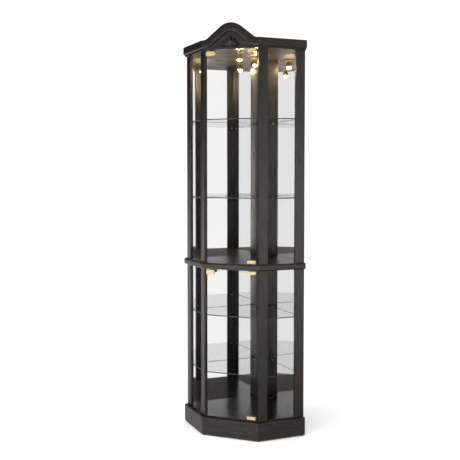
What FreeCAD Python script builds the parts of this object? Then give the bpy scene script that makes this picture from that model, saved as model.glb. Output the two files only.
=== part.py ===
"""Corner curio cabinet: glass doors and sides, mirrored back walls, plinth, waist board and arched crest.

Millimetres, +Z up.  The origin is on the floor, in the middle of the cabinet's bounding box, and the
doors face -Y.  Seen from above the body is a home plate: a front, two slanted sides that meet the
front at 135 degrees, and two back walls that meet at a right angle.

Every piece is drawn in the frame of one of the body's five faces.  A face's X runs along it, its Y
runs into the cabinet from the outer surface, and its Z is up.
"""
import FreeCAD, Part
import os
import re
import Sketcher
from math import asin, atan2, cos, hypot, radians, sin, tan

SIZES = {
    # plan of the body
    "front_width": 272,
    "side_width": 237,
    # heights above the floor
    "glide_height": 5,
    "plinth_top": 88,
    "deck_top": 94,
    "waist_bottom": 795,
    "waist_top": 825,
    "ceiling_bottom": 1815,
    "fascia_bottom": 1823,
    "cornice_top": 1861,
    "overall_height": 1935,
    "lower_shelf_low": 294,
    "lower_shelf_high": 570,
    "upper_shelf_low": 1131.5,
    "upper_shelf_high": 1502,
    # boards and panels
    "board_thickness": 15,
    "deck_thickness": 18,
    "lid_thickness": 12,
    "post_width": 47,
    "corner_width": 66,
    "panel_inset": 4,
    "panel_thickness": 6,
    "mirror_thickness": 3,
    "pane_inset": 5,
    "pane_thickness": 4,
    # mouldings
    "base_overhang": 15,
    "base_round": 6,
    "waist_round": 8,
    "cornice_overhang": 18,
    "tympanum_overhang": 10,
    "cornice_round": 3,
    "fascia_round": 6,
    # crest
    "peak_radius": 82,
    "foot_radius": 42,
    "foot_margin": 1,
    "arch_width": 38,
    "arch_round": 3,
    "carving_half": 52,
    "carving_height": 50,
    "carving_margin": 7,
    "carving_depth": 6,
    # plinth fittings
    "block_leg": 45,
    "glide_radius": 9,
    "glide_inset": 12,
    # shelves and their pins
    "shelf_front": 45,
    "shelf_thickness": 5,
    "shelf_gap": 1,
    "support_radius": 2.5,
    "support_reach": 14,
    "front_support": 44,
    "rear_support": 26,
    # doors
    "door_side_gap": 9,
    "door_front": 1.5,
    "door_thickness": 5,
    "door_gap": 3,
    "pivot_inset": 10,
    "pin_radius": 2,
    "pin_reach": 6,
    "pin_clearance": 0.05,
    "bush_radius": 3.5,
    "bush_length": 8,
    "clamp_inset": 5.5,
    "clamp_length": 41,
    "clamp_height": 14,
    "clamp_web": 3,
    "clamp_plate": 4.5,
    "strike_length": 41,
    "strike_height": 20.5,
    "strike_plate": 1.5,
    # touch latches
    "latch_inset": 22,
    "latch_width": 24,
    "latch_front": 14,
    "latch_back": 50,
    "latch_height": 18,
    "latch_drop": 9,
    "plunger_radius": 4,
    "plunger_length": 26,
    "plunger_gap": 0.3,
    "plunger_bore": 27,
    # lamps
    "lamp_first": 105,
    "lamp_spacing": 215,
    "lamp_height": 35,
    "lamp_flange": 17,
    "flange_height": 3,
    "lamp_neck": 6,
    "neck_height": 6,
    "shoulder_radius": 10,
    "shoulder_height": 5,
    "lamp_mouth": 15,
    "rim_height": 9,
    "lens_radius": 12.5,
    "lens_recess": 2,
    "lens_gap": 0.2,
    # cord outlet
    "grommet_place": 120,
    "grommet_radius": 7,
    "grommet_bore": 4,
    "grommet_flange": 9,
    "grommet_lip": 2,
}

UP = FreeCAD.Vector(0, 0, 1)

# Rules: each is arithmetic on the sheet's alias words.
HALF = "front_width / 2"
RUN = "side_width * cos(45)"
CORNER = "(front_width / 2 + 2 * side_width * cos(45))"
WALL = "(sqrt(2) * (front_width / 2 + side_width * cos(45)))"
MITRE = "tan(22.5)"
CENTRE = f"(({CORNER} - cornice_overhang) / 2)"
MIRROR_INSET = "(panel_inset + panel_thickness)"
FOOT_REACH = f"({HALF} + foot_margin)"
DOOR_HALF = f"({HALF} - door_side_gap)"
DOOR_BACK = "(door_front + door_thickness)"
PIVOT_X = f"({DOOR_HALF} - pivot_inset)"
PIVOT_Y = "(door_front + door_thickness / 2)"
CLAMP_RIGHT = f"({DOOR_HALF} - clamp_inset)"
CLAMP_LEFT = f"({CLAMP_RIGHT} - clamp_length)"
LATCH_X = f"-({DOOR_HALF} - latch_inset)"

# Each face's origin in plan and the angle of its X axis.
FACES = {
    "front": ("0", f"-{CENTRE}", 0),
    "right": (HALF, f"-{CENTRE}", 45),
    "left": (f"-({HALF} + {RUN})", f"{RUN} - {CENTRE}", -45),
    "back_right": (f"{HALF} + {RUN}", f"{RUN} - {CENTRE}", 135),
    "back_left": ("0", f"{CORNER} - {CENTRE}", 225),
}

SECTIONS = {
    "lower": ("deck_top", "waist_bottom"),
    "upper": ("waist_top", "ceiling_bottom"),
}
SHELVES = ("lower_shelf_low", "lower_shelf_high", "upper_shelf_low", "upper_shelf_high")

# The carving's outline, as shares of its half width and of its height.
CARVING = [(-1, 0), (1, 0), (0.75, 0.27), (0.29, 0.73), (0, 1), (-0.29, 0.73), (-0.75, 0.27)]

doc = FreeCAD.newDocument("curio_cabinet")
sheet = doc.addObject("Spreadsheet::Sheet", "Sizes")
nodes = []


# ---------------------------------------------------------------- sheet and rules

def fill_sheet():
    """Writes every driving size in the sheet, and adds the object that rules are worked out on."""
    for row, (alias, number) in enumerate(SIZES.items(), start=1):
        sheet.set(f"A{row}", alias)
        sheet.set(f"B{row}", str(number))
        sheet.setAlias(f"B{row}", alias)
    doc.addObject("App::FeaturePython", "Ruler")
    doc.recompute()


def sized(rule):
    """A rule of alias words as an expression on the sheet."""
    return re.sub(r"[a-z]+(?:_[a-z]+)+", r"Sizes.\g<0>", rule)


def value(rule):
    """The number that a rule gives now."""
    return float(doc.getObject("Ruler").evalExpression(sized(rule)))


# ---------------------------------------------------------------- drawing

def new_body(label, face):
    """An empty body in the frame of one face of the cabinet."""
    body = doc.addObject("PartDesign::Body", label)
    body.Label = label
    body.AllowCompound = True
    x_rule, y_rule, angle = FACES[face]
    body.Placement = FreeCAD.Placement(FreeCAD.Vector(), FreeCAD.Rotation(UP, angle))
    body.setExpression("Placement.Base.x", sized(x_rule))
    body.setExpression("Placement.Base.y", sized(y_rule))
    return body


def new_sketch(body, role, offset):
    """A sketch on one of the body's own planes, moved along the plane's normal."""
    sketch = body.newObject("Sketcher::SketchObject", "Sketch")
    plane = next(item for item in body.Origin.OriginFeatures if item.Role == role)
    sketch.AttachmentSupport = (plane, "")
    sketch.MapMode = "FlatFace"
    sketch.setExpression("AttachmentOffset.Base.z", sized(offset))
    return sketch


def tie_point(sketch, geometry, position, x_rule, y_rule):
    """Holds one point of the sketch at the place that two rules give."""
    for kind, rule in (("DistanceX", x_rule), ("DistanceY", y_rule)):
        constraint = Sketcher.Constraint(kind, -1, 1, geometry, position, value(rule))
        index = sketch.addConstraint(constraint)
        sketch.setExpression(f"Constraints[{index}]", sized(rule))


def draw_outline(sketch, corners):
    """A closed outline of straight lines, with each corner tied to its rules."""
    points = [FreeCAD.Vector(value(x), value(y), 0) for x, y in corners]
    first = sketch.GeometryCount
    for start, end in zip(points, points[1:] + points[:1]):
        sketch.addGeometry(Part.LineSegment(start, end))
    for index in range(len(points)):
        following = (index + 1) % len(points)
        joint = Sketcher.Constraint("Coincident", first + index, 2, first + following, 1)
        sketch.addConstraint(joint)
    for index, (x_rule, y_rule) in enumerate(corners):
        tie_point(sketch, first + index, 1, x_rule, y_rule)


def draw_circle(sketch, x_rule, y_rule, radius_rule):
    """A circle with its centre and radius tied to their rules."""
    centre = FreeCAD.Vector(value(x_rule), value(y_rule), 0)
    circle = sketch.addGeometry(Part.Circle(centre, UP, value(radius_rule)))
    tie_point(sketch, circle, 3, x_rule, y_rule)
    index = sketch.addConstraint(Sketcher.Constraint("Radius", circle, value(radius_rule)))
    sketch.setExpression(f"Constraints[{index}]", sized(radius_rule))


def rectangle(x_low, x_high, y_low, y_high):
    """The four corners of an upright rectangle."""
    return [(x_low, y_low), (x_high, y_low), (x_high, y_high), (x_low, y_high)]


def pad_up(body, bottom, top, outlines=(), circles=()):
    """Pads outlines and circles of the plan from one height to another."""
    sketch = new_sketch(body, "XY_Plane", bottom)
    for corners in outlines:
        draw_outline(sketch, corners)
    for circle in circles:
        draw_circle(sketch, *circle)
    pad = body.newObject("PartDesign::Pad", "Pad")
    pad.Profile = sketch
    pad.setExpression("Length", sized(f"{top} - ({bottom})"))
    doc.recompute()
    return pad


def pad_in(body, near, far, circles=(), outlines=()):
    """Pads shapes drawn on the face from one depth inside the face to another."""
    sketch = new_sketch(body, "XZ_Plane", f"-({near})")
    for corners in outlines:
        draw_outline(sketch, corners)
    for circle in circles:
        draw_circle(sketch, *circle)
    pad = body.newObject("PartDesign::Pad", "Pad")
    pad.Profile = sketch
    pad.Reversed = True
    pad.setExpression("Length", sized(f"{far} - ({near})"))
    doc.recompute()
    return pad


def cut(body, sketch, depth, into_positive):
    """Pockets a sketch to a depth, and makes sure that material went."""
    before = body.Shape.Volume
    pocket = body.newObject("PartDesign::Pocket", "Pocket")
    pocket.Profile = sketch
    pocket.Reversed = into_positive
    pocket.setExpression("Length", sized(depth))
    doc.recompute()
    if body.Shape.Volume >= before:
        raise RuntimeError(f"{body.Label}: a pocket removed nothing")


def cut_up(body, bottom, depth, circle):
    """A round hole upwards from a height."""
    sketch = new_sketch(body, "XY_Plane", bottom)
    draw_circle(sketch, *circle)
    cut(body, sketch, depth, True)


def cut_down(body, top, depth, circle):
    """A round hole downwards from a height."""
    sketch = new_sketch(body, "XY_Plane", top)
    draw_circle(sketch, *circle)
    cut(body, sketch, depth, False)


def cut_in(body, near, depth, circle):
    """A round hole inwards from a depth behind the face."""
    sketch = new_sketch(body, "XZ_Plane", f"-({near})")
    draw_circle(sketch, *circle)
    cut(body, sketch, depth, False)


def same(number, other):
    """Whether two lengths are equal as built."""
    return abs(number - other) < 1e-4


def round_edges(body, radius, wanted):
    """Rounds the edges of the body whose middle passes a test."""
    base = body.Tip
    names = []
    for number, edge in enumerate(base.Shape.Edges, start=1):
        if wanted(edge.valueAt((edge.FirstParameter + edge.LastParameter) / 2)):
            names.append(f"Edge{number}")
    if not names:
        raise RuntimeError(f"{body.Label}: no edge to round")
    fillet = body.newObject("PartDesign::Fillet", "Fillet")
    fillet.Base = (base, names)
    fillet.setExpression("Radius", sized(radius))
    doc.recompute()


def node(piece):
    """Marks a finished piece as a sub-part of its own."""
    nodes.append(piece)
    return piece


def group(label, members):
    """One sub-part of several separate solids."""
    compound = doc.addObject("Part::Compound", label)
    compound.Label = label
    compound.Links = members
    doc.recompute()
    return node(compound)


def prism(label, face, bottom, top, corners):
    """A piece of one plan outline."""
    body = new_body(label, face)
    pad_up(body, bottom, top, [corners])
    return node(body)


# ---------------------------------------------------------------- plan outlines

def body_outline(overhang):
    """The home plate, with its front and slanted sides moved out and its back walls kept."""
    front = f"{HALF} + {overhang} * {MITRE}"
    wide = f"{HALF} + {RUN} + {overhang} * cos(45)"
    deep = f"{RUN} - {overhang} * cos(45)"
    return [
        (f"-({front})", f"-{overhang}"),
        (front, f"-{overhang}"),
        (wide, deep),
        ("0", CORNER),
        (f"-({wide})", deep),
    ]


def shelf_outline():
    """The inside of the body, less a gap, from the shelves' front edge back and round the corner post."""
    inset = "(board_thickness + shelf_gap)"
    notch = "(corner_width + shelf_gap)"
    front = f"{HALF} + shelf_front - sqrt(2) * {inset}"
    wide = f"{HALF} + cos(45) * (side_width - 2 * {inset})"
    near = f"{CORNER} - cos(45) * ({notch} + {inset})"
    return [
        (f"-({front})", "shelf_front"),
        (front, "shelf_front"),
        (wide, RUN),
        (f"cos(45) * ({notch} - {inset})", near),
        ("0", f"{CORNER} - sqrt(2) * {notch}"),
        (f"-(cos(45) * ({notch} - {inset}))", near),
        (f"-({wide})", RUN),
    ]


def corner_post_outline():
    """A square column that fills the back corner."""
    reach = "corner_width * cos(45)"
    return [
        ("0", CORNER),
        (f"-({reach})", f"{CORNER} - {reach}"),
        ("0", f"{CORNER} - 2 * {reach}"),
        (reach, f"{CORNER} - {reach}"),
    ]


def side_outline(side, start, end, outer, inner):
    """A strip of a slanted side, measured from its front edge."""
    return seen_from(side, rectangle(start, end, outer, inner))


def side_moulding(side, overhang):
    """A strip outside a slanted side, as long as the side, mitred at its front end."""
    front = f"-{overhang} * {MITRE}"
    return seen_from(side, [(front, f"-{overhang}"), ("side_width", f"-{overhang}"),
                            ("side_width", "0"), ("0", "0")])


def seen_from(side, corners):
    """Corners measured from a side's front edge, turned round for the left side, whose X runs forward."""
    if side == "left":
        return [(f"side_width - ({x})", y) for x, y in corners]
    return corners


def wall_outline(side, start, end, outer, inner):
    """A strip of a back wall, measured from its side edge."""
    if side == "left":
        start, end = f"{WALL} - ({end})", f"{WALL} - ({start})"
    return rectangle(start, end, outer, inner)


# ---------------------------------------------------------------- plinth

def make_plinth():
    """Three mitred boards round the front and sides, two rails along the walls."""
    front_bottom = f"{HALF} + base_overhang * {MITRE}"
    front = prism("plinth_front_board", "front", "glide_height", "plinth_top", [
        (f"-({front_bottom})", "-base_overhang"),
        (front_bottom, "-base_overhang"),
        (HALF, "0"),
        (f"-({HALF})", "0"),
    ])
    soften_plinth(front)
    for side in ("left", "right"):
        outline = side_moulding(side, "base_overhang")
        board = prism(f"plinth_{side}_board", side, "glide_height", "plinth_top", outline)
        soften_plinth(board)
    rails = []
    for side, far in (("left", WALL), ("right", f"{WALL} - board_thickness")):
        rail = new_body(f"plinth_rear_rail_{side}", f"back_{side}")
        outline = wall_outline(side, "0", far, "0", "board_thickness")
        pad_up(rail, "glide_height", "deck_top - deck_thickness", [outline])
        rails.append(rail)
    group("plinth_rear_rails", rails)


def soften_plinth(board):
    """Rounds the outer top edge of a plinth board."""
    top = value("plinth_top")
    outer = -value("base_overhang")
    round_edges(board, "base_round", lambda spot: same(spot.z, top) and same(spot.y, outer))


def make_corner_blocks():
    """Five triangular blocks that tie the plinth boards together under the deck."""
    step = "board_thickness * cos(45)"
    inner_corners = [
        (HALF, "0", 45, 180),
        (f"-({HALF})", "0", 0, 135),
        (f"{HALF} + {RUN} - {step}", f"{RUN} - {step}", 135, 225),
        (f"-({HALF} + {RUN} - {step})", f"{RUN} - {step}", 315, 45),
        ("0", f"{CORNER} - 2 * {step}", 225, 315),
    ]
    outlines = []
    for x, y, first, second in inner_corners:
        legs = [(f"{x} + block_leg * cos({angle})", f"{y} + block_leg * sin({angle})")
                for angle in (first, second)]
        outlines.append([(x, y)] + legs)
    body = new_body("plinth_corner_blocks", "front")
    pad_up(body, "glide_height", "deck_top - deck_thickness", outlines)
    node(body)


def make_glides():
    """Five discs that the cabinet stands on, one under each corner."""
    wide = f"{HALF} + {RUN} - glide_inset * cos(45)"
    deep = f"{RUN} - glide_inset * cos(45)"
    places = [
        (HALF, "0"),
        (f"-({HALF})", "0"),
        (wide, deep),
        (f"-({wide})", deep),
        ("0", f"{CORNER} - 2 * glide_inset"),
    ]
    body = new_body("floor_glides", "front")
    circles = [(x, y, "glide_radius") for x, y in places]
    pad_up(body, "0", "glide_height", circles=circles)
    node(body)


# ---------------------------------------------------------------- carcass

def make_decks():
    """Bottom deck, waist board, ceiling and top board, with the blind holes for the hinge bushings."""
    hole = (PIVOT_X, PIVOT_Y, "bush_radius")
    deck = prism("bottom_deck", "front", "deck_top - deck_thickness", "deck_top", body_outline("0"))
    cut_down(deck, "deck_top", "bush_length", hole)
    waist = prism("waist_board", "front", "waist_bottom", "waist_top", body_outline("base_overhang"))
    round_waist(waist)
    cut_up(waist, "waist_bottom", "bush_length", hole)
    cut_down(waist, "waist_top", "bush_length", hole)
    ceiling_top = "ceiling_bottom + lid_thickness"
    ceiling = prism("ceiling_panel", "front", "ceiling_bottom", ceiling_top, body_outline("0"))
    cut_up(ceiling, "ceiling_bottom", "bush_length", hole)
    prism("top_board", "front", "cornice_top - lid_thickness", "cornice_top", body_outline("0"))


def round_waist(waist):
    """Rounds the upper and lower edge of the waist board along the front and the slanted sides."""
    heights = (value("waist_bottom"), value("waist_top"))
    wall_line = value(CORNER)

    def along_front_or_side(spot):
        level = any(same(spot.z, height) for height in heights)
        return level and not same(abs(spot.x) + spot.y, wall_line)

    round_edges(waist, "waist_round", along_front_or_side)


def make_posts():
    """Front and rear post of each slanted side and the corner post, in both sections."""
    for section, (bottom, top) in SECTIONS.items():
        for side in ("left", "right"):
            front = side_outline(side, "0", "post_width", "0", "board_thickness")
            rear = side_outline(side, "side_width - post_width", "side_width", "0", "board_thickness")
            prism(f"{section}_front_post_{side}", side, bottom, top, front)
            prism(f"{section}_rear_post_{side}", side, bottom, top, rear)
        prism(f"{section}_corner_post", "front", bottom, top, corner_post_outline())


def make_panes():
    """Side glass between the posts, and back panel and mirror between rear post and corner post."""
    for section, (bottom, top) in SECTIONS.items():
        for side in ("left", "right"):
            glass = side_outline(side, "post_width", "side_width - post_width",
                                 "pane_inset", "pane_inset + pane_thickness")
            prism(f"{section}_side_glass_{side}", side, bottom, top, glass)
            panel = wall_outline(side, "board_thickness", f"{WALL} - corner_width",
                                 "panel_inset", MIRROR_INSET)
            prism(f"{section}_back_panel_{side}", f"back_{side}", bottom, top, panel)
            mirror = wall_outline(side, "board_thickness", f"{WALL} - corner_width",
                                  MIRROR_INSET, f"{MIRROR_INSET} + mirror_thickness")
            prism(f"{section}_mirror_{side}", f"back_{side}", bottom, top, mirror)


def make_shelves():
    """Four glass shelves and the pins under them, in the posts and in the corner column."""
    for shelf in SHELVES:
        prism(f"{shelf}_glass", "front", f"{shelf} - shelf_thickness", shelf, shelf_outline())
    supports = []
    for face, near, places in (
        ("right", "board_thickness", ("front_support", "side_width - rear_support")),
        ("left", "board_thickness", ("side_width - front_support", "rear_support")),
        ("back_right", "corner_width", (f"{WALL} - corner_width / 2",)),
        ("back_left", "corner_width", ("corner_width / 2",)),
    ):
        body = new_body(f"shelf_supports_{face}", face)
        circles = [(place, f"{shelf} - shelf_thickness - support_radius", "support_radius")
                   for shelf in SHELVES for place in places]
        pad_in(body, near, f"{near} + support_reach", circles)
        supports.append(body)
    group("shelf_supports", supports)


# ---------------------------------------------------------------- cornice and crest

def make_cornice():
    """Side mouldings: a fascia over a smaller step, mitred to the crest."""
    for side in ("left", "right"):
        body = new_body(f"cornice_{side}", side)
        pad_up(body, "ceiling_bottom", "fascia_bottom", [side_moulding(side, "tympanum_overhang")])
        pad_up(body, "fascia_bottom", "cornice_top", [side_moulding(side, "cornice_overhang")])
        outer = -value("cornice_overhang")
        bottom = value("fascia_bottom")
        top = value("cornice_top")
        round_edges(body, "fascia_round", lambda spot: same(spot.z, bottom) and same(spot.y, outer))
        round_edges(body, "cornice_round", lambda spot: same(spot.z, top) and same(spot.y, outer))
        node(body)


def make_top_rails():
    """Two rails along the walls over the ceiling, one with the hole for the cord grommet."""
    bottom = "ceiling_bottom + lid_thickness"
    top = "cornice_top - lid_thickness"
    rails = []
    for side, far in (("left", WALL), ("right", f"{WALL} - board_thickness")):
        rail = new_body(f"top_rear_rail_{side}", f"back_{side}")
        pad_up(rail, bottom, top, [wall_outline(side, "0", far, "0", "board_thickness")])
        rails.append(rail)
    middle = f"({bottom} + {top}) / 2"
    cut_in(rails[1], "0", "board_thickness", ("grommet_place", middle, "grommet_radius"))
    group("top_rear_rails", rails)
    grommet = new_body("cord_grommet", "back_right")
    bore = ("grommet_place", middle, "grommet_bore")
    pad_in(grommet, "0", "board_thickness", [("grommet_place", middle, "grommet_radius"), bore])
    pad_in(grommet, "board_thickness", "board_thickness + grommet_lip",
           [("grommet_place", middle, "grommet_flange"), bore])
    node(grommet)


def bell_curve(inset):
    """Ends and arcs of the crest's curve, moved in by an inset, from the right foot to the left."""
    peak = value("peak_radius") - inset
    foot = value("foot_radius") + inset
    reach = value(FOOT_REACH)
    peak_z = value("overall_height - peak_radius")
    foot_z = value("cornice_top + foot_radius")
    rise = foot_z - peak_z
    slope = atan2(reach, rise) - asin((hypot(reach, rise) ** 2 - (peak + foot) ** 2) ** 0.5
                                      / hypot(reach, rise))

    def on_peak(angle):
        return FreeCAD.Vector(peak * sin(angle), 0, peak_z + peak * cos(angle))

    def on_foot(angle, side):
        return FreeCAD.Vector(side * (reach - foot * sin(angle)), 0, foot_z - foot * cos(angle))

    right = Part.Arc(on_foot(0, 1), on_foot(slope / 2, 1), on_foot(slope, 1))
    crown = Part.Arc(on_peak(slope), on_peak(0), on_peak(-slope))
    left = Part.Arc(on_foot(slope, -1), on_foot(slope / 2, -1), on_foot(0, -1))
    flanks = [Part.LineSegment(on_foot(slope, 1), on_peak(slope)),
              Part.LineSegment(on_peak(-slope), on_foot(slope, -1))]
    return [right, flanks[0], crown, flanks[1], left]


def edges_through(points):
    """Straight edges through a list of points."""
    return [Part.LineSegment(start, end).toShape() for start, end in zip(points, points[1:])]


def crest_block(edges, overhang):
    """A front outline pushed forward from the body's front plane, with its ends mitred."""
    face = Part.Face(Part.Wire(Part.__sortEdges__(edges)))
    block = face.extrude(FreeCAD.Vector(0, -value(overhang), 0))
    half = value(HALF)
    depth = value("cornice_overhang")
    outer = half + depth * tan(radians(22.5))
    plan = [FreeCAD.Vector(x, y, 0) for x, y in
            ((-half, 0), (half, 0), (outer, -depth), (-outer, -depth), (-half, 0))]
    mitre = Part.Face(Part.makePolygon(plan)).extrude(UP * value("overall_height"))
    return block.common(mitre)


def crest_feature(label, shape):
    """A crest piece as a node in the front face's frame."""
    feature = doc.addObject("Part::Feature", label)
    feature.Label = label
    feature.Shape = shape.Solids[0]
    feature.Placement = FreeCAD.Placement(FreeCAD.Vector(0, -value(CENTRE), 0), FreeCAD.Rotation())
    return node(feature)


def make_arch():
    """The arched fascia: a band of even width between two bell curves, with its front edges rounded."""
    end = value(f"{HALF} + cornice_overhang")
    top = value("cornice_top")
    bottom = value("cornice_top - arch_width")
    outer = [curve.toShape() for curve in bell_curve(0)]
    inner = [curve.toShape() for curve in bell_curve(value("arch_width"))]
    reach = value(FOOT_REACH)
    ends = []
    for side in (1, -1):
        ends += edges_through([
            FreeCAD.Vector(side * reach, 0, top),
            FreeCAD.Vector(side * end, 0, top),
            FreeCAD.Vector(side * end, 0, bottom),
            FreeCAD.Vector(side * reach, 0, bottom),
        ])
    band = crest_block(outer + inner + ends, "cornice_overhang")
    front = -value("cornice_overhang")
    rounded = [edge for edge in band.Edges
               if all(same(vertex.Y, front) for vertex in edge.Vertexes)
               and not same(edge.BoundBox.XLength, 0)]
    crest_feature("crest_arch", band.makeFillet(value("arch_round"), rounded))


def make_tympanum():
    """The recessed board under the arch."""
    end = value(f"{HALF} + cornice_overhang")
    reach = value(FOOT_REACH)
    bottom = value("ceiling_bottom")
    band_bottom = value("cornice_top - arch_width")
    inner = [curve.toShape() for curve in bell_curve(value("arch_width"))]
    lower = edges_through([
        FreeCAD.Vector(-reach, 0, band_bottom),
        FreeCAD.Vector(-end, 0, band_bottom),
        FreeCAD.Vector(-end, 0, bottom),
        FreeCAD.Vector(end, 0, bottom),
        FreeCAD.Vector(end, 0, band_bottom),
        FreeCAD.Vector(reach, 0, band_bottom),
    ])
    crest_feature("crest_tympanum", crest_block(inner + lower, "tympanum_overhang"))


def make_carving():
    """A leafy spray in relief, drawn as its plain outline."""
    body = new_body("crest_carving", "front")
    outline = [(f"carving_half * {across}", f"ceiling_bottom + carving_margin + carving_height * {up}")
               for across, up in CARVING]
    pad_in(body, "-(tympanum_overhang + carving_depth)", "-tympanum_overhang", outlines=[outline])
    node(body)


# ---------------------------------------------------------------- lamps

def make_lamps():
    """Two turned brass lamps under the ceiling, and their lenses."""
    housing = new_body("lamp_housings", "front")
    sketch = new_sketch(housing, "XZ_Plane", "-lamp_first")
    flange = "ceiling_bottom - flange_height"
    mouth = "ceiling_bottom - lamp_height"
    draw_outline(sketch, [
        ("0", "ceiling_bottom"),
        ("lamp_flange", "ceiling_bottom"),
        ("lamp_flange", flange),
        ("lamp_neck", flange),
        ("lamp_neck", f"{flange} - neck_height"),
        ("shoulder_radius", f"{flange} - neck_height - shoulder_height"),
        ("lamp_mouth", f"{mouth} + rim_height"),
        ("lamp_mouth", mouth),
        ("lens_radius", mouth),
        ("lens_radius", f"{mouth} + lens_recess"),
        ("0", f"{mouth} + lens_recess"),
    ])
    turning = housing.newObject("PartDesign::Revolution", "Turning")
    turning.Profile = sketch
    turning.ReferenceAxis = (sketch, ["V_Axis"])
    turning.Angle = 360
    doc.recompute()
    repeat_lamp(housing, turning)
    node(housing)
    lens = new_body("lamp_lenses", "front")
    disc = pad_up(lens, f"{mouth} + lens_gap", f"{mouth} + lens_recess",
                  circles=[("0", "lamp_first", "lens_radius")])
    repeat_lamp(lens, disc)
    node(lens)


def repeat_lamp(body, feature):
    """Repeats a lamp's feature at the second lamp's place, further into the cabinet."""
    pattern = body.newObject("PartDesign::LinearPattern", "SecondLamp")
    pattern.Originals = [feature]
    depth_axis = next(item for item in body.Origin.OriginFeatures if item.Role == "Y_Axis")
    pattern.Direction = (depth_axis, [""])
    pattern.setExpression("Length", sized("lamp_spacing"))
    pattern.Occurrences = 2
    body.Tip = pattern
    doc.recompute()


# ---------------------------------------------------------------- doors

def make_door(section):
    """One frameless glass door with its hinge clamps, pivot pins and strike plate."""
    opening_bottom, opening_top = SECTIONS[section]
    bottom = f"{opening_bottom} + door_gap"
    top = f"{opening_top} - door_gap"
    glass_bottom = f"{bottom} + clamp_web"
    glass_top = f"{top} - clamp_web"
    glass = rectangle(f"-{DOOR_HALF}", DOOR_HALF, "door_front", DOOR_BACK)
    prism(f"{section}_door_glass", "front", glass_bottom, glass_top, glass)

    clamps = new_body(f"{section}_hinge_clamps", "front")
    web, *plates = wrap(CLAMP_LEFT, CLAMP_RIGHT, "clamp_plate")
    pin_hole = (PIVOT_X, PIVOT_Y, "pin_radius + pin_clearance")
    pad_up(clamps, bottom, glass_bottom, [web], [pin_hole])
    pad_up(clamps, glass_bottom, f"{bottom} + clamp_height", plates)
    pad_up(clamps, glass_top, top, [web], [pin_hole])
    pad_up(clamps, f"{top} - clamp_height", glass_top, plates)
    node(clamps)

    pins = new_body(f"{section}_pivot_pins", "front")
    pin = (PIVOT_X, PIVOT_Y, "pin_radius")
    pad_up(pins, f"{opening_bottom} - pin_reach", glass_bottom, circles=[pin])
    pad_up(pins, glass_top, f"{opening_top} + pin_reach", circles=[pin])
    node(pins)

    strike = new_body(f"{section}_strike_plate", "front")
    cap, *leaves = wrap(f"-{DOOR_HALF}", f"-({DOOR_HALF} - strike_length)", "strike_plate")
    pad_up(strike, f"{glass_top} + strike_plate - strike_height", glass_top, leaves)
    pad_up(strike, glass_top, f"{glass_top} + strike_plate", [cap])
    node(strike)


def wrap(left, right, plate):
    """Plan of a fitting round the door glass: across its edge, on its front and on its back."""
    front = f"door_front - {plate}"
    back = f"{DOOR_BACK} + {plate}"
    return [rectangle(left, right, front, back),
            rectangle(left, right, front, "door_front"),
            rectangle(left, right, DOOR_BACK, back)]


def make_bushings():
    """Four bushings that the pivot pins turn in, let into the decks above and below each door."""
    body = new_body("hinge_bushings", "front")
    rings = [(PIVOT_X, PIVOT_Y, "bush_radius"), (PIVOT_X, PIVOT_Y, "pin_radius + pin_clearance")]
    for bottom, top in SECTIONS.values():
        pad_up(body, f"{bottom} - bush_length", bottom, circles=rings)
        pad_up(body, top, f"{top} + bush_length", circles=rings)
    node(body)


def make_latches():
    """Touch latches behind the strike plates: a housing for each door and its sprung plunger."""
    tip = f"{DOOR_BACK} + strike_plate + plunger_gap"
    housings = new_body("latch_housings", "front")
    block = rectangle(f"{LATCH_X} - latch_width / 2", f"{LATCH_X} + latch_width / 2",
                      "latch_front", "latch_back")
    for _, top in SECTIONS.values():
        pad_up(housings, f"{top} - latch_height", top, [block])
    for _, top in SECTIONS.values():
        bore = (LATCH_X, f"{top} - latch_drop", "plunger_radius + pin_clearance")
        cut_in(housings, "latch_front", "plunger_bore", bore)
    node(housings)
    for section, (_, top) in SECTIONS.items():
        plunger = new_body(f"{section}_latch_plunger", "front")
        circle = (LATCH_X, f"{top} - latch_drop", "plunger_radius")
        pad_in(plunger, tip, f"{tip} + plunger_length", [circle])
        node(plunger)


# ---------------------------------------------------------------- checking and writing

def check_document():
    """Stops if any object failed, or if a sub-part isn't a sound shape."""
    for item in doc.Objects:
        if "Invalid" in item.State or "Error" in item.State:
            raise RuntimeError(f"{item.Label}: {item.State}")
    labels = [piece.Label for piece in nodes]
    if len(set(labels)) != len(labels):
        raise RuntimeError("two sub-parts share a label")
    for piece in nodes:
        if piece.Shape.isNull() or not piece.Shape.isValid() or not piece.Shape.Solids:
            raise RuntimeError(f"{piece.Label}: unsound shape")


def write_parts():
    """Writes each sub-part to its own STEP file."""
    os.makedirs("parts", exist_ok=True)
    for piece in nodes:
        piece.Shape.exportStep(f"parts/{piece.Label}.step")


fill_sheet()
make_plinth()
make_corner_blocks()
make_glides()
make_decks()
make_posts()
make_panes()
make_shelves()
make_cornice()
make_top_rails()
make_arch()
make_tympanum()
make_carving()
make_lamps()
for section_name in SECTIONS:
    make_door(section_name)
make_bushings()
make_latches()
doc.recompute()
check_document()
write_parts()
print(len(nodes), "sub-parts")
for piece in nodes:
    print(f"{piece.Label:28s} {len(piece.Shape.Solids):3d} solids {piece.Shape.Volume / 1000:9.1f} cm3")
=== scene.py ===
"""Looks of the corner curio cabinet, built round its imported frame.

Metres, +Z up, doors towards -Y.  CAD nodes keep their shape and get materials and softened edges.
The crest arch, its carving and the lamp lenses are replaced by finer meshes, and screws are added.
"""
import math

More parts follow.
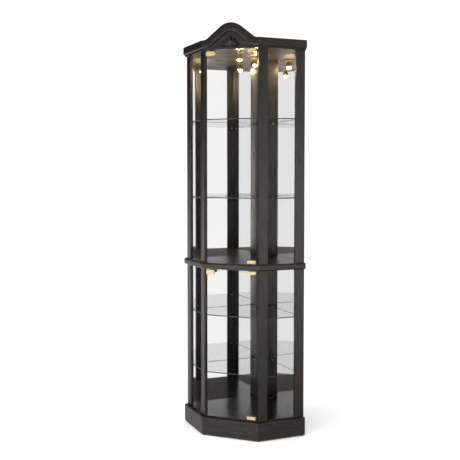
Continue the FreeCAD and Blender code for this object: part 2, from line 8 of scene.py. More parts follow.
import bmesh
import bpy
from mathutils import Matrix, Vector


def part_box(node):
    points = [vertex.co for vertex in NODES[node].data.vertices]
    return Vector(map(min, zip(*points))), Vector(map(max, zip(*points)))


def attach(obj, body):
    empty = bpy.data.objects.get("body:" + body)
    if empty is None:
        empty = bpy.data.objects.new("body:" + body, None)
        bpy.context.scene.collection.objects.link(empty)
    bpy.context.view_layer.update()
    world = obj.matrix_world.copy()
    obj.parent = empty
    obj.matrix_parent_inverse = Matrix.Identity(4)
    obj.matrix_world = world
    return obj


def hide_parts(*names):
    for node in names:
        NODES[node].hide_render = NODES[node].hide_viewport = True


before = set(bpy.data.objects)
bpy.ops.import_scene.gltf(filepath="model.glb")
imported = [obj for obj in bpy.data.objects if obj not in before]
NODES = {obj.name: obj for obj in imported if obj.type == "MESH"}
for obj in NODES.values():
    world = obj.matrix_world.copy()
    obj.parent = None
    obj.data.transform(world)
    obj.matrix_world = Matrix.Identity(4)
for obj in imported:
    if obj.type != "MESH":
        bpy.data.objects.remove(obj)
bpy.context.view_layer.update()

MM = 0.001
UP = Vector((0, 0, 1))
SIDE_ANGLE = math.radians(45)
MITRE = math.tan(SIDE_ANGLE / 2)

# Levels and places, read from the frame.
BODY_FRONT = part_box("bottom_deck")[0].y
PLINTH_OVERHANG = BODY_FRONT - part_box("plinth_front_board")[0].y
HALF_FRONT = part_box("plinth_front_board")[1].x - PLINTH_OVERHANG * MITRE
TYMPANUM_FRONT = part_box("crest_tympanum")[0].y
CORNICE_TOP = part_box("cornice_left")[1].z
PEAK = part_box("crest_arch")[1].z

# The studio: its white, and the lit band near the horizon that satin surfaces reflect.
# Heights and sides are components of the direction that a reflection looks in.
WORLD_WHITE = 1.12
GLOW_COLOUR = (1.0, 0.945, 0.885)
BAND_GLOW = 5.0
BAND_HEIGHT = -0.06
BAND_CORE = 0.02
BAND_REACH = 0.2
BAND_DARK = 0.03
SKY_REACH = 0.65
SKY_GLOW = 0.15
LEFT_GLOW = 0.05
RIGHT_GLOW = 0.55
FLOOR_GLOW = 0.5

# The camera stands to the right of the doors, at about the height of a standing person's chest.
CAMERA_PLACE = Vector((1.4226, -3.7554, 1.2528))
CAMERA_YAW = math.radians(22.04)
CAMERA_PITCH = math.radians(-3.11)
CAMERA_LENS = 64.16
CAMERA_SHIFT = -0.03

# Sides of the recess in a screw's head.
SOCKET = 6
CROSS = 4


# ---------------------------------------------------------------- node trees

def add(tree, kind, inputs=None, **settings):
    """A shader node with its settings, and inputs given as values or as sockets to link."""
    node = tree.nodes.new(kind)
    for name, setting in settings.items():
        setattr(node, name, setting)
    for name, source in (inputs or {}).items():
        if isinstance(source, bpy.types.NodeSocket):
            tree.links.new(source, node.inputs[name])
        else:
            node.inputs[name].default_value = source
    return node


def new_material(name):
    """An empty node material and its tree."""
    material = bpy.data.materials.new(name)
    material.use_nodes = True
    material.node_tree.nodes.clear()
    return material, material.node_tree


def finish_material(tree, shader):
    """Links a shader to the material's surface."""
    add(tree, "ShaderNodeOutputMaterial", {"Surface": shader})


def grey(level):
    """A neutral colour."""
    return (level,) * 3


def stops(tree, source, places, interpolation="LINEAR"):
    """A ramp over a value, from (place, colour) pairs in rising order."""
    node = add(tree, "ShaderNodeValToRGB", {"Fac": source})
    node.color_ramp.interpolation = interpolation
    elements = node.color_ramp.elements
    for element, (place, colour) in zip(elements, (places[0], places[-1])):
        element.position = place
        element.color = (*colour, 1)
    for place, colour in places[1:-1]:
        elements.new(place).color = (*colour, 1)
    return node.outputs["Color"]


def ramp(tree, source, low, high, low_place=0.0, high_place=1.0):
    """A two-colour ramp over a value."""
    return stops(tree, source, [(low_place, low), (high_place, high)])


def remap(tree, source, low, high, start=0.0):
    """A value from the start to 1 spread over another range."""
    inputs = {"Value": source, "From Min": start, "To Min": low, "To Max": high}
    return add(tree, "ShaderNodeMapRange", inputs).outputs["Result"]


def calc(tree, operation, first, second=0.0, clamp=False):
    """A calculation on one or two values."""
    node = add(tree, "ShaderNodeMath", {0: first, 1: second}, operation=operation, use_clamp=clamp)
    return node.outputs["Value"]


def mix_colours(tree, mode, first, second, share=1.0):
    """One colour combined with another."""
    node = add(tree, "ShaderNodeMixRGB", {"Fac": share, "Color1": first, "Color2": second},
               blend_type=mode)
    return node.outputs["Color"]


def mix_shaders(tree, share, first, second):
    """One shader giving way to another."""
    return add(tree, "ShaderNodeMixShader", {0: share, 1: first, 2: second}).outputs["Shader"]


def bump(tree, height, strength, distance):
    """A normal that follows a height."""
    inputs = {"Height": height, "Strength": strength, "Distance": distance}
    return add(tree, "ShaderNodeBump", inputs).outputs["Normal"]


def noise(tree, vector, scale, detail=4.0, roughness=0.55, distortion=0.0):
    """A noise value over a vector."""
    inputs = {"Vector": vector, "Scale": scale, "Detail": detail,
              "Roughness": roughness, "Distortion": distortion}
    return add(tree, "ShaderNodeTexNoise", inputs).outputs["Fac"]


def object_place(tree):
    """The point's place in its own object, which is the row frame at rest."""
    return add(tree, "ShaderNodeTexCoord").outputs["Object"]


def stretched(tree, vector, scale):
    """Coordinates scaled differently along each axis."""
    return add(tree, "ShaderNodeMapping", {"Vector": vector, "Scale": scale}).outputs["Vector"]


def grain_space(tree, angle, upright, across):
    """Coordinates stretched along the grain: upright, or level at an angle to X."""
    turned = add(tree, "ShaderNodeVectorRotate",
                 {"Vector": object_place(tree), "Angle": -angle}, rotation_type="Z_AXIS")
    along = 1.0
    scale = (across, across, along) if upright else (along, across, across)
    return stretched(tree, turned.outputs["Vector"], scale)


def principled(tree, inputs):
    """The general surface shader."""
    return add(tree, "ShaderNodeBsdfPrincipled", inputs).outputs["BSDF"]


# ---------------------------------------------------------------- materials

def black_wood(name, angle=0.0, upright=False, gloss=0.3, relief=0.14, across=34.0, painted_shade_reach=0.0):
    """Open-grained wood under a thin satin black lacquer; if a crevice size is given, shade is painted into
    crevices of that size by darkening colour and lacquer.
    """
    dark_stain = (0.0045, 0.004, 0.0037)
    light_stain = (0.0165, 0.0148, 0.0133)
    material, tree = new_material(name)
    space = grain_space(tree, angle, upright, across)
    figure = noise(tree, space, scale=2.2, detail=3.0, distortion=0.7)
    fibre = noise(tree, space, scale=13.0, detail=6.0, roughness=0.68, distortion=0.25)
    pores = ramp(tree, noise(tree, space, scale=30.0, detail=2.0), grey(0.0), grey(1.0),
                 low_place=0.36, high_place=0.5)
    stain = ramp(tree, fibre, dark_stain, light_stain, low_place=0.3, high_place=0.75)
    clouds = ramp(tree, figure, grey(0.25), grey(1.0), low_place=0.3, high_place=0.7)
    colour = mix_colours(tree, "MULTIPLY", stain, clouds, share=0.45)
    colour = mix_colours(tree, "MULTIPLY", colour, pores, share=0.35)
    lacquer = ramp(tree, fibre, grey(0.3), grey(0.64), low_place=0.34, high_place=0.66)
    # Painted shade: ambient occlusion darkens the colour and the lacquer in crevices and recesses.
    if painted_shade_reach:
        openness = add(tree, "ShaderNodeAmbientOcclusion", {"Distance": painted_shade_reach}).outputs["AO"]
        crevice_painted_shade = ramp(tree, openness, grey(0.04), grey(1.0), low_place=0.35, high_place=0.95)
        colour = mix_colours(tree, "MULTIPLY", colour, crevice_painted_shade)
        lacquer = mix_colours(tree, "MULTIPLY", lacquer, crevice_painted_shade)
    height = calc(tree, "MULTIPLY", fibre, pores)
    finish_material(tree, principled(tree, {
        "Base Color": colour, "Roughness": remap(tree, figure, gloss - 0.07, gloss + 0.09),
        "Normal": bump(tree, height, strength=relief, distance=0.6 * MM),
        "IOR": 1.5, "Specular IOR Level": lacquer}))
    return material


def clear_glass(name, flat_normal, tint, reflection):
    """Thin clear glass: its broad faces let light through, and its ground edges are dark.

    The edges are dark only from outside the glass, and the rearward ones are mostly clear.  The
    broad faces reflect only at a slant, and then by a share of what glass reflects."""
    broad_cosine = 0.9
    head_on_fresnel = 0.1
    rear_edge_light = 0.85
    material, tree = new_material(name)
    place = object_place(tree)
    normal = add(tree, "ShaderNodeTexCoord").outputs["Normal"]
    geometry = add(tree, "ShaderNodeNewGeometry")
    inside = geometry.outputs["Backfacing"]

    facing = add(tree, "ShaderNodeVectorMath", {0: normal, 1: flat_normal}, operation="DOT_PRODUCT")
    broad = calc(tree, "GREATER_THAN", calc(tree, "ABSOLUTE", facing.outputs["Value"]), broad_cosine)

    ripple = noise(tree, place, scale=3.0, detail=1.0)
    darker_tint = tuple(0.99 * part for part in tint)
    through = add(tree, "ShaderNodeBsdfTransparent",
                  {"Color": ramp(tree, ripple, darker_tint, tint)}).outputs["BSDF"]
    shine = add(tree, "ShaderNodeBsdfAnisotropic", {
        "Color": (*grey(0.97), 1), "Roughness": 0.0,
        "Normal": bump(tree, ripple, strength=0.05, distance=1.0 * MM)}).outputs["BSDF"]
    fresnel = add(tree, "ShaderNodeFresnel", {"IOR": 1.45}).outputs["Fac"]
    slanting = calc(tree, "SUBTRACT", fresnel, head_on_fresnel, clamp=True)
    mirrored = calc(tree, "MULTIPLY", slanting, reflection, clamp=True)
    share = calc(tree, "MULTIPLY", mirrored, calc(tree, "SUBTRACT", 1.0, inside))
    pane = mix_shaders(tree, share, through, shine)

    grind = noise(tree, place, scale=90.0, detail=3.0)
    edge = principled(tree, {
        "Base Color": ramp(tree, grind, (0.012, 0.018, 0.016), (0.03, 0.045, 0.04)),
        "Roughness": remap(tree, grind, 0.12, 0.28), "IOR": 1.5})
    rearward = add(tree, "ShaderNodeSeparateXYZ", {"Vector": normal}).outputs["Y"]
    rear_light = calc(tree, "MULTIPLY", rearward, rear_edge_light, clamp=True)
    rim = mix_shaders(tree, calc(tree, "MAXIMUM", rear_light, inside), edge, through)

    finish_material(tree, mix_shaders(tree, broad, rim, pane))
    return material


def mirror(name):
    """Silvered glass."""
    material, tree = new_material(name)
    clouds = noise(tree, object_place(tree), scale=2.5, detail=2.0)
    silver = add(tree, "ShaderNodeBsdfAnisotropic", {
        "Color": ramp(tree, clouds, grey(0.845), grey(0.865)), "Roughness": 0.0})
    finish_material(tree, silver.outputs["BSDF"])
    return material


def brass(name, roughness=0.46):
    """Lacquered brass with fine polishing marks."""
    material, tree = new_material(name)
    space = stretched(tree, object_place(tree), (60, 60, 900))
    marks = noise(tree, space, scale=3.0, detail=5.0, roughness=0.7)
    finish_material(tree, principled(tree, {
        "Base Color": ramp(tree, marks, (0.6, 0.5, 0.26), (0.76, 0.66, 0.38)), "Metallic": 1.0,
        "Roughness": remap(tree, marks, roughness - 0.06, roughness + 0.1),
        "Normal": bump(tree, marks, strength=0.12, distance=0.3 * MM)}))
    return material


def nickel(name):
    """Plated steel of screws and shelf pins."""
    material, tree = new_material(name)
    marks = noise(tree, object_place(tree), scale=700.0, detail=3.0)
    finish_material(tree, principled(tree, {
        "Base Color": ramp(tree, marks, (0.42, 0.42, 0.43), (0.6, 0.6, 0.61)),
        "Metallic": 1.0, "Roughness": remap(tree, marks, 0.2, 0.38)}))
    return material


def black_plastic(name):
    """Moulded black plastic with a fine spark-eroded texture."""
    material, tree = new_material(name)
    grain = noise(tree, object_place(tree), scale=1600.0, detail=2.0)
    finish_material(tree, principled(tree, {
        "Base Color": ramp(tree, grain, (0.009, 0.009, 0.01), (0.02, 0.02, 0.021)),
        "Roughness": remap(tree, grain, 0.42, 0.6),
        "Normal": bump(tree, grain, strength=0.25, distance=0.2 * MM)}))
    return material


def hardboard(name):
    """Dark pressed fibre board of the back panels."""
    material, tree = new_material(name)
    place = object_place(tree)
    fibres = noise(tree, place, scale=420.0, detail=6.0, roughness=0.7)
    clouds = ramp(tree, noise(tree, place, scale=9.0), grey(0.5), grey(1.0))
    pulp = ramp(tree, fibres, (0.045, 0.028, 0.017), (0.13, 0.085, 0.055), low_place=0.3, high_place=0.7)
    finish_material(tree, principled(tree, {
        "Base Color": mix_colours(tree, "MULTIPLY", pulp, clouds, share=0.4), "Roughness": 0.72,
        "Normal": bump(tree, fibres, strength=0.4, distance=0.5 * MM)}))
    return material


def lit_lens(name):
    """Frosted lamp glass, lit from inside."""
    material, tree = new_material(name)
    frost = noise(tree, object_place(tree), scale=500.0, detail=2.0)
    glow = add(tree, "ShaderNodeEmission", {
        "Color": ramp(tree, frost, (1.0, 0.72, 0.36), (1.0, 0.82, 0.5)), "Strength": 12.0})
    finish_material(tree, glow.outputs["Emission"])
    return material


# ---------------------------------------------------------------- mesh helpers

def link_object(name, data):
    """A scene object that holds a mesh, light or camera."""
    thing = bpy.data.objects.new(name, data)
    bpy.context.scene.collection.objects.link(thing)
    return thing


def link_mesh(name, builder, material):
    """A scene object from a bmesh, with shading smooth except at its sharp edges."""
    sharpest_smooth = math.radians(38)
    bmesh.ops.remove_doubles(builder, verts=builder.verts, dist=0.001 * MM)
    bmesh.ops.recalc_face_normals(builder, faces=builder.faces)
    for face in builder.faces:
        face.smooth = True
    for edge in builder.edges:
        edge.smooth = edge.is_manifold and edge.calc_face_angle(0) < sharpest_smooth
    mesh = bpy.data.meshes.new(name)
    builder.to_mesh(mesh)
    builder.free()
    mesh.materials.append(material)
    return link_object(name, mesh)


def loft(builder, rings):
    """Joins closed rings of the same count into a tube with closed ends."""
    rows = [[builder.verts.new(point) for point in ring] for ring in rings]
    count = len(rows[0])
    for row, following in zip(rows, rows[1:]):
        for index in range(count):
            after = (index + 1) % count
            builder.faces.new((row[index], row[after], following[after], following[index]))
    builder.faces.new(rows[0])
    builder.faces.new(rows[-1])


def circle(count):
    """Cosine and sine of evenly spaced turns round a circle."""
    turns = [2 * math.pi * index / count for index in range(count)]
    return [(math.cos(turn), math.sin(turn)) for turn in turns]


def quarter_round(centre, radius, first, last, steps):
    """Points of an arc in a section, from one angle in degrees to another."""
    points = []
    for step in range(steps + 1):
        angle = math.radians(first + (last - first) * step / steps)
        points.append((centre[0] + radius * math.cos(angle), centre[1] + radius * math.sin(angle)))
    return points


def soften(piece, width, segments):
    """Rounds a CAD node's sharp edges without touching its mesh."""
    weld = piece.modifiers.new("weld", "WELD")
    weld.merge_threshold = 0.01 * MM
    bevel = piece.modifiers.new("softened_edges", "BEVEL")
    bevel.width = width
    bevel.segments = segments
    bevel.limit_method = "ANGLE"
    bevel.angle_limit = math.radians(40)
    bevel.harden_normals = True
    piece.modifiers.new("normals", "WEIGHTED_NORMAL")


def dress(name, material, width=0.0, segments=2):
    """Gives a CAD node its material and, if a width is given, softened edges."""
    piece = NODES[name]
    for slot in piece.material_slots:
        slot.material = material
    if width:
        soften(piece, width, segments)


# ---------------------------------------------------------------- crest

def bell_stations(steps=14):
    """Places along the crest's curve, from right to left, each a function of inset and depth.

    The curve is a round crown over two straight flanks, which run out in two hollow feet.  The radii
    of crown and foot are those of the CAD arch, and so is the feet's reach."""
    crown = 82 * MM
    foot = 42 * MM
    foot_margin = 1 * MM
    reach = HALF_FRONT + foot_margin
    peak_z = PEAK - crown
    foot_z = CORNICE_TOP + foot
    rise = foot_z - peak_z
    span = math.hypot(reach, rise)
    slope = math.atan2(reach, rise) - math.acos((crown + foot) / span)

    def on_end(side):
        return lambda inset, depth: (side * (HALF_FRONT + depth * MITRE), CORNICE_TOP - inset)

    def on_foot(angle, side):
        return lambda inset, depth: (side * (reach - (foot + inset) * math.sin(angle)),
                                     foot_z - (foot + inset) * math.cos(angle))

    def on_crown(angle):
        return lambda inset, depth: ((crown - inset) * math.sin(angle),
                                     peak_z + (crown - inset) * math.cos(angle))

    feet = [slope * step / steps for step in range(steps + 1)]
    crowns = [slope - slope * step / steps for step in range(2 * steps + 1)]
    stations = [on_end(1)]
    stations += [on_foot(angle, 1) for angle in feet]
    stations += [on_crown(angle) for angle in crowns]
    stations += [on_foot(angle, -1) for angle in reversed(feet)]
    stations.append(on_end(-1))
    return stations


def arch_profile():
    """Section of the arch moulding as (inset from its upper edge, depth in front of the body).

    A rounded upper edge, a flat face, a narrow groove, and a bead that falls to the tympanum."""
    width = 38 * MM
    front = 18 * MM
    upper_round = 3 * MM
    bead = 7 * MM
    groove = 1.6 * MM
    groove_shoulder = 0.4 * MM
    groove_start = width - bead - 2 * groove
    groove_end = width - bead - groove_shoulder
    profile = [(0, 0)]
    profile += quarter_round((upper_round, front - upper_round), upper_round, 180, 90, steps=4)
    profile.append((groove_start, front))
    profile.append((groove_start + groove / 2, front - groove))
    profile.append((groove_end, front - groove))
    profile += quarter_round((width - bead, front - groove - bead), bead, 90, 0, steps=6)
    profile.append((width, 0))
    return profile


def make_arch(material):
    """The arched front moulding, swept along the bell curve."""
    rings = []
    for station in bell_stations():
        ring = []
        for inset, depth in arch_profile():
            x, z = station(inset, depth)
            ring.append(Vector((x, BODY_FRONT - depth, z)))
        rings.append(ring)
    builder = bmesh.new()
    loft(builder, rings)
    piece = link_mesh("crest_arch_moulding", builder, material)
    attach(piece, "cabinet")
    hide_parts("crest_arch")


def blade_width(along, lobes):
    """A leaf's half width as a share of its widest, from its stem at 0 to its tip at 1."""
    stem = 0.12
    fullness = 0.8
    notch = 0.24 * (0.3 + 0.7 * along)
    blade = math.sin(math.pi * min(1.0, stem + (1 - stem) * along) ** fullness)
    return blade * (1 - notch * abs(math.sin(math.pi * lobes * along)))


def blade_lift(along):
    """The height of a leaf's ridge as a share of its highest, from its stem to its tip."""
    least = 0.45
    return least + (1 - least) * math.sin(math.pi * min(1.0, 0.1 + along) * 0.8)


def blade_section(across):
    """The height across a leaf, from edge to edge at -1 and 1: a dome with a sunk midrib and veins."""
    midrib = 0.62
    vein_depth = 0.12
    edge = abs(across)
    dome = (1 - edge ** 2.4) ** 0.6 * (midrib + (1 - midrib) * edge ** 0.7)
    return dome * (1 + vein_depth * math.cos(3 * math.pi * across))


def leaf(builder, base, heading, bend, length, width, height):
    """One carved leaf with scalloped edges, bending as it grows.

    It lies on the tympanum, its base at a point of the front plane, and rises towards -Y."""
    rows, columns = 18, 12
    lobes = 4
    sunk = 1.5 * MM
    thinnest = 0.15 * MM
    spine = Vector(base)
    direction = heading
    rings = []
    for row in range(rows + 1):
        along = row / rows
        half = max(width * blade_width(along, lobes), thinnest)
        lift = height * blade_lift(along)
        side = Vector((math.cos(direction), math.sin(direction)))
        ring = []
        for column in range(columns + 1):
            across = 2 * column / columns - 1
            spot = spine + side * half * across
            ring.append(Vector((spot.x, TYMPANUM_FRONT - lift * blade_section(across), spot.y)))
        ring.append(Vector((ring[-1].x, TYMPANUM_FRONT + sunk, ring[-1].z)))
        ring.append(Vector((ring[0].x, TYMPANUM_FRONT + sunk, ring[0].z)))
        rings.append(ring)
        spine = spine + Vector((-math.sin(direction), math.cos(direction))) * length / rows
        direction += bend / rows
    loft(builder, rings)


def scroll(builder, centre, start_radius, turns, side, thickness):
    """A carved volute that winds in towards its eye."""
    steps, around = 40, 8
    eye = 0.14
    thinning = 0.45
    relief = 1.1
    rings = []
    for step in range(steps + 1):
        along = step / steps
        angle = math.pi / 2 + side * 2 * math.pi * turns * along
        radius = start_radius * (1 - (1 - eye) * along)
        width = thickness * (1 - thinning * along) * min(1.0, 0.3 + 6 * along)
        outward = Vector((math.cos(angle), 0, math.sin(angle)))
        forward = Vector((0, -relief, 0))
        middle = Vector((centre[0], TYMPANUM_FRONT, centre[1])) + outward * radius
        rings.append([middle + outward * width * cosine + forward * width * sine
                      for cosine, sine in circle(around)])
    loft(builder, rings)


def boss(builder, centre, radius, height):
    """A turned button with a ring round it, from its sunk foot to its crown."""
    profile = [(1.0, -0.3), (1.0, 0.35), (0.92, 0.5), (0.8, 0.52), (0.7, 0.4), (0.62, 0.46),
               (0.52, 0.78), (0.34, 0.95), (0.12, 1.0)]
    around = 24
    rings = []
    for reach, rise in profile:
        rings.append([Vector((centre[0] + radius * reach * cosine, TYMPANUM_FRONT - height * rise,
                              centre[1] + radius * reach * sine))
                      for cosine, sine in circle(around)])
    loft(builder, rings)


def make_carving(material):
    """A spray of leaves over scrolls and a button, in relief on the tympanum."""
    low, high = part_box("crest_carving")
    root_height = 7 * MM
    root = Vector((0, low.z + root_height))
    # The tips follow a triangle over the root, tall in the middle, with rounded shoulders.
    # They are thin and bent, so the leaves are a little longer than the carving's box.
    tall = high.z - root.y + 6 * MM
    wide = high.x + 3 * MM
    shoulder = 0.14
    # From the middle leaf outwards: heading and bend in degrees, then width and height.
    leaves = ((0, 0, 9.0 * MM, 9.8 * MM), (25, 20, 8.4 * MM, 9.2 * MM),
              (49, 24, 8.2 * MM, 8.6 * MM), (72, 20, 7.6 * MM, 8.0 * MM))
    # From the middle outwards: distance, drop, radius, turns and thickness.
    scrolls = ((19 * MM, 1 * MM, 7.0 * MM, 1.35, 2.6 * MM), (38 * MM, 2 * MM, 5.4 * MM, 1.25, 2.2 * MM))
    builder = bmesh.new()
    for heading, bend, width, height in leaves:
        turn = math.radians(heading)
        length = ((1 + shoulder * math.sin(2 * turn))
                  / (math.cos(turn) / tall + math.sin(turn) / wide))
        for side in ((-1, 1) if heading else (1,)):
            leaf(builder, root, side * turn, math.radians(side * bend), length, width, height)
    for side in (-1, 1):
        for distance, drop, radius, turns, thickness in scrolls:
            scroll(builder, (side * distance, root.y - drop), radius, turns, side, thickness)
    boss(builder, (0, root.y), radius=8.5 * MM, height=7.9 * MM)
    piece = link_mesh("crest_spray", builder, material)
    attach(piece, "cabinet")
    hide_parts("crest_carving")


# ---------------------------------------------------------------- small fittings

def screw_head(builder, centre, outward, radius, height, recess_sides):
    """A low screw head along a unit vector, with a many-sided recess."""
    across = outward.cross(UP).normalized()
    up = across.cross(outward).normalized()
    around = 24
    # Reach and rise of each ring, from the sunk skirt over the rim and down the recess.
    skirt = ((1.0, -0.4), (1.0, 0.5), (0.9, 0.85), (0.72, 1.0))
    recess = ((0.5, 1.0), (0.46, 0.25))
    recess_floor = (0.05, 0.2)
    sector = 2 * math.pi / recess_sides

    def ring(reach, rise, angled=False):
        points = []
        for index in range(around):
            angle = 2 * math.pi * index / around
            stretch = math.cos(sector / 2) / math.cos((angle % sector) - sector / 2) if angled else 1.0
            spoke = across * math.cos(angle) + up * math.sin(angle)
            points.append(centre + spoke * radius * reach * stretch + outward * height * rise)
        return points

    rings = [ring(reach, rise) for reach, rise in skirt]
    rings += [ring(reach, rise, angled=True) for reach, rise in recess]
    rings.append(ring(*recess_floor))
    loft(builder, rings)


def lamp_places():
    """Middle of each ceiling lamp's mouth."""
    low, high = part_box("lamp_lenses")
    radius = (high.x - low.x) / 2
    return [Vector((0, low.y + radius, low.z)), Vector((0, high.y - radius, low.z))]


def make_bulbs(material):
    """Domed lamp glasses that stand below the housings' mouths."""
    low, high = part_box("lamp_lenses")
    radius = (high.x - low.x) / 2
    dome = 0.72 * radius
    rings, around = 8, 32
    builder = bmesh.new()
    for place in lamp_places():
        layers = []
        for step in range(rings):
            angle = math.radians(90) * step / rings
            reach = radius * math.cos(angle)
            drop = dome * math.sin(angle)
            layers.append([place + Vector((reach * cosine, reach * sine, -drop))
                           for cosine, sine in circle(around)])
        rim = [point + UP * (high.z - low.z) for point in layers[0]]
        loft(builder, [rim] + layers)
    piece = link_mesh("lamp_bulbs", builder, material)
    piece.visible_shadow = False
    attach(piece, "cabinet")
    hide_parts("lamp_lenses")


def make_clamp_screws(section, material):
    """Two socket screws on the inside of each hinge clamp of one door."""
    low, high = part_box(f"{section}_hinge_clamps")
    clamp_height = 14 * MM
    clamp_web = 3 * MM
    plate_middle = (clamp_height + clamp_web) / 2
    inward = Vector((0, 1, 0))
    builder = bmesh.new()
    for height in (low.z + plate_middle, high.z - plate_middle):
        for share in (0.28, 0.72):
            centre = Vector((low.x + share * (high.x - low.x), high.y, height))
            screw_head(builder, centre, inward, radius=2.6 * MM, height=1.2 * MM, recess_sides=SOCKET)
    piece = link_mesh(f"{section}_clamp_screws", builder, material)
    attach(piece, f"{section}_door")


def panel_ends(name, side):
    """The two ends, in plan, of a back panel's outer face: the one by the side post, then the other."""
    low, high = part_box(name)
    thickness = 6 * MM
    offset = thickness * math.cos(SIDE_ANGLE)
    near = side * max(abs(low.x), abs(high.x))
    far = side * min(abs(low.x), abs(high.x))
    return Vector((near, low.y + offset, 0)), Vector((far + side * offset, high.y, 0))


def make_panel_screws(material):
    """Screws round the edges of the back panels, seen only from behind."""
    rows = {"lower": 4, "upper": 6}
    end_margin = 12 * MM
    level_margin = 25 * MM
    builder = bmesh.new()
    for section, count in rows.items():
        for side, word in ((-1, "left"), (1, "right")):
            name = f"{section}_back_panel_{word}"
            low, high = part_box(name)
            outward = Vector((side, 1, 0)).normalized()
            near, far = panel_ends(name, side)
            along = (far - near).normalized()
            for index in range(count):
                height = low.z + level_margin + (high.z - low.z - 2 * level_margin) * index / (count - 1)
                for spot in (near + along * end_margin, far - along * end_margin):
                    screw_head(builder, Vector((spot.x, spot.y, height)), outward,
                               radius=3.2 * MM, height=0.9 * MM, recess_sides=CROSS)
    piece = link_mesh("back_panel_screws", builder, material)
    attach(piece, "cabinet")


# ---------------------------------------------------------------- dressing the nodes

def dress_wood():
    """Each board gets wood whose grain runs along it."""
    upright = black_wood("wood_upright", upright=True)
    level = black_wood("wood_level")
    slanted = {"left": black_wood("wood_slanted_left", angle=-SIDE_ANGLE),
               "right": black_wood("wood_slanted_right", angle=SIDE_ANGLE)}
    deck = black_wood("wood_deck", gloss=0.24, relief=0.0, across=12.0)
    ceiling = black_wood("wood_ceiling", gloss=0.42, relief=0.0, across=12.0)
    edge = 1.0 * MM
    plinth_edge = 1.6 * MM
    waist_edge = 0.5 * MM
    for section in ("lower", "upper"):
        for side in ("left", "right"):
            dress(f"{section}_front_post_{side}", upright, edge)
            dress(f"{section}_rear_post_{side}", upright, edge)
        dress(f"{section}_corner_post", upright, edge)
    for side in ("left", "right"):
        dress(f"plinth_{side}_board", slanted[side], plinth_edge)
        dress(f"cornice_{side}", slanted[side], edge)
    dress("plinth_front_board", level, plinth_edge)
    for name in ("top_board", "plinth_rear_rails", "top_rear_rails", "plinth_corner_blocks"):
        dress(name, level, edge)
    dress("bottom_deck", deck, edge)
    dress("waist_board", black_wood("wood_waist", gloss=0.34, relief=0.0), waist_edge)
    dress("ceiling_panel", ceiling, edge)
    # The crest's wood has painted shade in its crevices and recesses, from ambient occlusion.
    crest = black_wood("wood_crest", gloss=0.22, painted_shade_reach=14 * MM)
    dress("crest_tympanum", crest, edge)
    make_arch(crest)
    make_carving(crest)


def dress_glass():
    """Clear panes, tinted shelves and silvered mirrors."""
    clear = grey(0.988)
    shelf_tint = (0.87, 0.875, 0.875)
    ground_edge = 0.8 * MM
    slant = math.cos(SIDE_ANGLE)
    front = clear_glass("glass_door", (0, 1, 0), clear, reflection=0.2)
    sides = {"left": clear_glass("glass_left", (slant, slant, 0), clear, reflection=0.14),
             "right": clear_glass("glass_right", (-slant, slant, 0), clear, reflection=0.2)}
    shelf = clear_glass("glass_shelf", (0, 0, 1), shelf_tint, reflection=0.5)
    silver = mirror("silvered_glass")
    for section in ("lower", "upper"):
        dress(f"{section}_door_glass", front, ground_edge, 1)
        for height in ("low", "high"):
            dress(f"{section}_shelf_{height}_glass", shelf, ground_edge, 1)
        for side in ("left", "right"):
            dress(f"{section}_side_glass_{side}", sides[side])
            dress(f"{section}_mirror_{side}", silver)


def dress_fittings():
    """Brass, plated steel, plastic, the back panels and the lamps."""
    polished = brass("brass_polished")
    plated = nickel("nickel_plated")
    moulded = black_plastic("plastic_black")
    board = hardboard("hardboard_back")
    for section in ("lower", "upper"):
        dress(f"{section}_hinge_clamps", polished, 0.7 * MM, 3)
        dress(f"{section}_strike_plate", polished, 0.4 * MM)
        dress(f"{section}_pivot_pins", polished)
        dress(f"{section}_latch_plunger", moulded, 0.6 * MM)
        for side in ("left", "right"):
            dress(f"{section}_back_panel_{side}", board)
        make_clamp_screws(section, plated)
    make_panel_screws(plated)
    dress("lamp_housings", brass("brass_lamps", roughness=0.3))
    dress("hinge_bushings", polished)
    make_bulbs(lit_lens("lens_lit"))
    dress("shelf_supports", plated, 0.5 * MM)
    dress("latch_housings", moulded, 0.8 * MM)
    dress("floor_glides", moulded)
    dress("cord_grommet", moulded)


# ---------------------------------------------------------------- studio

def make_point(name, place, energy, radius, in_mirrors):
    """A round amber light, which gloss and mirrors may be told not to show."""
    light = bpy.data.lights.new(name, "POINT")
    light.energy = energy
    light.color = (1.0, 0.7, 0.38)
    light.shadow_soft_size = radius
    lamp = link_object(name, light)
    lamp.location = place
    lamp.visible_glossy = in_mirrors


def make_lamp_lights():
    """Each ceiling lamp has a light in its bulb, and a wider one below that reaches the ceiling."""
    in_bulb = UP * 4 * MM
    below_bulb = UP * 26 * MM
    for number, place in enumerate(lamp_places()):
        make_point(f"lamp_bulb_{number}", place - in_bulb, energy=2.5, radius=8 * MM, in_mirrors=True)
        make_point(f"lamp_halo_{number}", place - below_bulb, energy=4.0, radius=20 * MM,
                   in_mirrors=False)


def make_area(name, place, target, size, energy):
    """A soft rectangular studio light aimed at a point."""
    light = bpy.data.lights.new(name, "AREA")
    light.shape = "RECTANGLE"
    light.size, light.size_y = size
    light.energy = energy
    lamp = link_object(name, light)
    lamp.location = place
    aim = Vector(target) - Vector(place)
    lamp.rotation_euler = aim.to_track_quat("-Z", "Y").to_euler()
    lamp.visible_camera = False
    lamp.visible_glossy = False
    lamp.visible_transmission = False


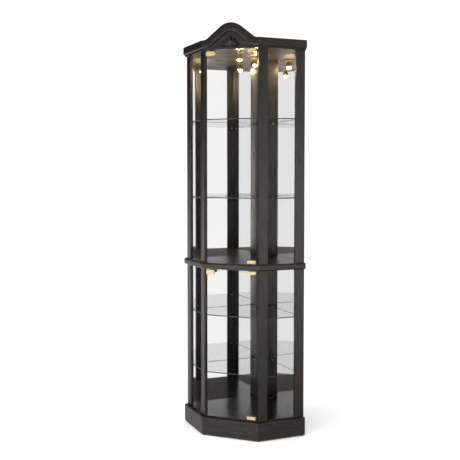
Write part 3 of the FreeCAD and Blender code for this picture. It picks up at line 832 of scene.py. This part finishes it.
def studio_glow(tree):
    """The colour that a blurred reflection sees in each direction.

    A lit band near the horizon is brightest a little to the left of the middle.  On the far left a
    glow below the horizon takes its place, and steep downward directions on the left see a lit floor.
    A ramp takes only values from 0 to 1, so heights below the horizon are raised for it first."""
    direction = add(tree, "ShaderNodeTexCoord").outputs["Generated"]
    parts = add(tree, "ShaderNodeSeparateXYZ", {"Vector": direction})
    height = parts.outputs["Z"]
    sideways = remap(tree, parts.outputs["X"], 0.0, 1.0, start=-1.0)
    raised_half = calc(tree, "ADD", height, 0.5)
    raised_full = calc(tree, "ADD", height, 1.0)

    strength = stops(tree, sideways, [(0.0, grey(LEFT_GLOW)), (0.32, grey(1.0)), (1.0, grey(RIGHT_GLOW))])
    off_band = calc(tree, "ABSOLUTE", calc(tree, "SUBTRACT", height, BAND_HEIGHT))
    band = stops(tree, off_band, [(BAND_CORE, grey(1.0)), (BAND_REACH, grey(BAND_DARK)),
                                  (SKY_REACH, grey(SKY_GLOW))], interpolation="EASE")
    below = stops(tree, raised_half, [(0.2, grey(0.45)), (0.32, grey(1.0)), (0.42, grey(1.0)),
                                      (0.54, grey(BAND_DARK))])
    far_left = ramp(tree, sideways, grey(1.0), grey(0.0), low_place=0.08, high_place=0.25)
    level_glow = mix_colours(tree, "MULTIPLY", strength, mix_colours(tree, "MIX", band, below, far_left))

    floor_side = ramp(tree, sideways, grey(FLOOR_GLOW), grey(0.0), low_place=0.3, high_place=0.5)
    steep = ramp(tree, raised_full, grey(1.0), grey(0.0), low_place=0.4, high_place=0.56)
    floor_glow = mix_colours(tree, "MULTIPLY", floor_side, steep)

    white_glow = mix_colours(tree, "ADD", level_glow, floor_glow)
    glow = mix_colours(tree, "MULTIPLY", white_glow, (*GLOW_COLOUR, 1))
    lit = add(tree, "ShaderNodeVectorMath", {0: glow, "Scale": BAND_GLOW}, operation="SCALE")
    return lit.outputs["Vector"]


def make_world():
    """A white studio, in which only blurred reflections see the lit band.

    Diffuse light, the background, and what the mirrors and panes show are plain white."""
    world = bpy.data.worlds.new("studio")
    bpy.context.scene.world = world
    world.use_nodes = True
    tree = world.node_tree
    tree.nodes.clear()
    path = add(tree, "ShaderNodeLightPath")
    blurred = calc(tree, "SUBTRACT", path.outputs["Is Glossy Ray"], path.outputs["Is Singular Ray"])
    colour = mix_colours(tree, "MIX", (*grey(WORLD_WHITE), 1), studio_glow(tree), blurred)
    background = add(tree, "ShaderNodeBackground", {"Color": colour, "Strength": 1.0})
    add(tree, "ShaderNodeOutputWorld", {"Surface": background.outputs["Background"]})


def make_floor():
    """A plain pale floor, which gloss and mirrors don't show."""
    half_side = 30.0
    material, tree = new_material("floor_pale")
    speckle = noise(tree, object_place(tree), scale=40.0)
    finish_material(tree, principled(tree, {
        "Base Color": ramp(tree, speckle, grey(0.88), grey(0.92)), "Roughness": 0.9,
        "Specular IOR Level": 0.0}))
    builder = bmesh.new()
    bmesh.ops.create_grid(builder, x_segments=4, y_segments=4, size=half_side)
    floor = link_mesh("studio_floor", builder, material)
    floor.visible_glossy = False


def make_camera():
    """A camera at the photograph's viewing angle."""
    lens = bpy.data.cameras.new("camera")
    lens.sensor_width = 36.0
    lens.lens = CAMERA_LENS
    lens.shift_y = CAMERA_SHIFT
    camera = link_object("camera", lens)
    camera.location = CAMERA_PLACE
    camera.rotation_euler = (math.radians(90) + CAMERA_PITCH, 0, CAMERA_YAW)
    bpy.context.scene.camera = camera


def set_studio():
    """World, floor, lights, camera, plain colours, and light paths deep enough for stacked glass."""
    make_world()
    make_floor()
    make_lamp_lights()
    make_area("softbox_right", place=(2.6, -1.2, 0.98), target=(0.2, 0.0, 0.95), size=(0.9, 0.8), energy=16)
    make_area("softbox_top", place=(-0.4, -1.2, 3.6), target=(0.0, 0.0, 0.9), size=(2.6, 2.2), energy=60)
    make_camera()
    scene = bpy.context.scene
    scene.view_settings.view_transform = "Standard"
    scene.cycles.transparent_max_bounces = 32
    scene.cycles.max_bounces = 14
    scene.cycles.glossy_bounces = 10


dress_wood()
dress_glass()
dress_fittings()
set_studio()
